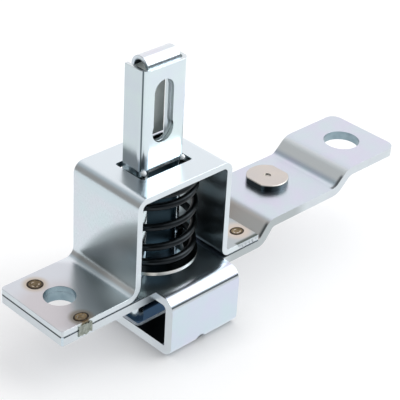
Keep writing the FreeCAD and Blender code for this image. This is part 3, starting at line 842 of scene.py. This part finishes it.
def crust(name, columns, material, thick, seed):
    """A thin rough plate on the front face, from columns of (x, lower z, upper z)."""
    draw = random.Random(seed)
    shape = bmesh.new()
    bmesh.ops.create_grid(shape, x_segments=len(columns) - 1, y_segments=1, size=1)
    corners = sorted(shape.verts, key=lambda vert: (round(vert.co.x, 4), vert.co.y))
    for (across, low, high), lower, upper in zip(columns, corners[::2], corners[1::2]):
        ahead = STRIP_FRONT - thick * draw.uniform(CRUST_THINNEST, 1.0)
        lower.co = Vector((across, ahead, low)) * MM
        upper.co = Vector((across, ahead, high)) * MM
    grown = bmesh.ops.extrude_face_region(shape, geom=shape.faces[:])["geom"]
    for part in grown:
        if isinstance(part, bmesh.types.BMVert):
            part.co.y = (STRIP_FRONT + CRUST_ROOT) * MM
    bmesh.ops.recalc_face_normals(shape, faces=shape.faces)
    return finish_object(name, as_mesh(name, shape), [material], "housing")


print("crusts reach", CRUST_ROOT, "mm into the sheet")

# %% Squeeze the patch and tear the teeth
PATCH_LEFT, PATCH_STEP, PATCH_COLUMNS = -4.7, 0.5, 11
PATCH_LOW, PATCH_HIGH = -2.2, 1.2
TEETH_LEFT, TOOTH_STEP, TOOTH_COUNT = 58.6, 1.45, 6
TOOTH_TIP = 0.8

draw = random.Random(11)
patch = [(PATCH_LEFT + PATCH_STEP * step, PATCH_LOW + draw.uniform(-0.35, 0.35),
          PATCH_HIGH + draw.uniform(-0.25, 0.3)) for step in range(PATCH_COLUMNS)]
teeth = []
for tooth in range(TOOTH_COUNT):
    start = TEETH_LEFT + TOOTH_STEP * tooth
    low = TOOTH_TIP + draw.uniform(-0.5, 0.3)
    # a tooth goes down steeply, runs along its tip, and ends in the gap before the next
    teeth += [(start, 1.35, 1.75), (start + 0.35, low, 1.8), (start + 0.85, low + 0.2, 1.8),
              (start + 1.15, 1.3, 1.75)]

# crushed zinc: greenish grey, lumpy and dull
crushed_zinc = zinc_plate("crushed_zinc", "#a9b0a8", "#8d9389", 0.45, cloud=1.5, grain=0.6,
                          depth=0.35)
# freshly torn metal: bright from every side, because its facets are tiny
torn_zinc = zinc_plate("torn_bright_zinc", "#dfe5e8", "#c4cbcf", 0.55, metal=0.0)
crust("crushed_patch", patch, crushed_zinc, thick=0.35, seed=6)
crust("torn_teeth", teeth, torn_zinc, thick=0.3, seed=7)
print("patch columns", len(patch), "and teeth columns", len(teeth))

# %% [markdown]
# ## Rolled corners on the plunger
#
# Where the lower cut-out ends, the channel's two bent front corners go on downwards, and
# the press left a small bead on each at the height of the guide. The beads are white and
# matt, a painted highlight that shows as two white dots in the guide's opening, so two
# small balls sunk in the corners are enough.

# %% Roll the corner beads
BEAD_RADIUS = 0.85
BEAD_BACK, BEAD_HIGH = -3.9, 34.2

# painted highlight: white and matt from every side
bead_white_highlight = zinc_plate("bead_painted_highlight", "#fbfdfe", "#f4f8fa", 0.4, metal=0.0)
for name, across in (("left_corner_bead", 27.5), ("right_corner_bead", 42.5)):
    shape = bmesh.new()
    bmesh.ops.create_uvsphere(shape, u_segments=24, v_segments=16, radius=BEAD_RADIUS * MM)
    bmesh.ops.translate(shape, verts=shape.verts,
                        vec=Vector((across, BEAD_BACK, BEAD_HIGH)) * MM)
    for face in shape.faces:
        face.smooth = True
    finish_object(name, as_mesh(name, shape), [bead_white_highlight], "plunger")
print("beads 2")

# %% [markdown]
# ## The burr round the opening in the mouth's floor
#
# The opening that the plunger drops into was punched from below, so the die left a raised
# burr round its rim. It is white and matt, a painted highlight that shows as a bright bent
# line in the dark mouth. It is a thin round bead that follows the rim, half sunk in the
# floor: a circle that is extruded from point to point and turned at each into the new
# direction.

# %% Raise the burr
RIM = [(25.15, 5.0), (25.15, -5.2), (25.35, -5.8), (25.95, -6.1), (44.2, -6.1)]
RIM_HEIGHT = -17.25
RIM_RADIUS = 0.5
RIM_SIDES = 10


def bead_along(name, route, height, radius, material):
    """A round bead along points of (x, y), in millimetres, at one height."""
    spots = [Vector((across, back, height)) * MM for across, back in route]
    ways = [after - before for before, after in zip([spots[0]] + spots, spots[1:] + [spots[-1]])]
    shape = bmesh.new()
    start = ways[0].to_track_quat("Z", "X").to_matrix().to_4x4()
    bmesh.ops.create_circle(shape, cap_ends=True, segments=RIM_SIDES, radius=radius * MM,
                            matrix=Matrix.Translation(spots[0]) @ start)
    loop = shape.edges[:]
    for number in range(1, len(spots)):
        grown = bmesh.ops.extrude_edge_only(shape, edges=loop)["geom"]
        ring = [part for part in grown if isinstance(part, bmesh.types.BMVert)]
        loop = [part for part in grown if isinstance(part, bmesh.types.BMEdge)]
        bmesh.ops.translate(shape, verts=ring, vec=spots[number] - spots[number - 1])
        turn = ways[number - 1].rotation_difference(ways[number]).to_matrix()
        bmesh.ops.rotate(shape, verts=ring, cent=spots[number], matrix=turn)
    bmesh.ops.edgeloop_fill(shape, edges=loop)
    bmesh.ops.recalc_face_normals(shape, faces=shape.faces)
    for face in shape.faces:
        face.smooth = len(face.verts) == 4
    print(name, "open edges", sum(not edge.is_manifold for edge in shape.edges))
    return finish_object(name, as_mesh(name, shape), [material], "housing")


# painted highlight: white and matt, bright from every side, with a soft shine
burr_white_highlight = zinc_plate("burr_painted_highlight", "#e8eff4", "#e2e9ef", 0.5, metal=0.0)
bead_along("floor_burr", RIM, RIM_HEIGHT, RIM_RADIUS, burr_white_highlight)
print("burr along", len(RIM), "points")
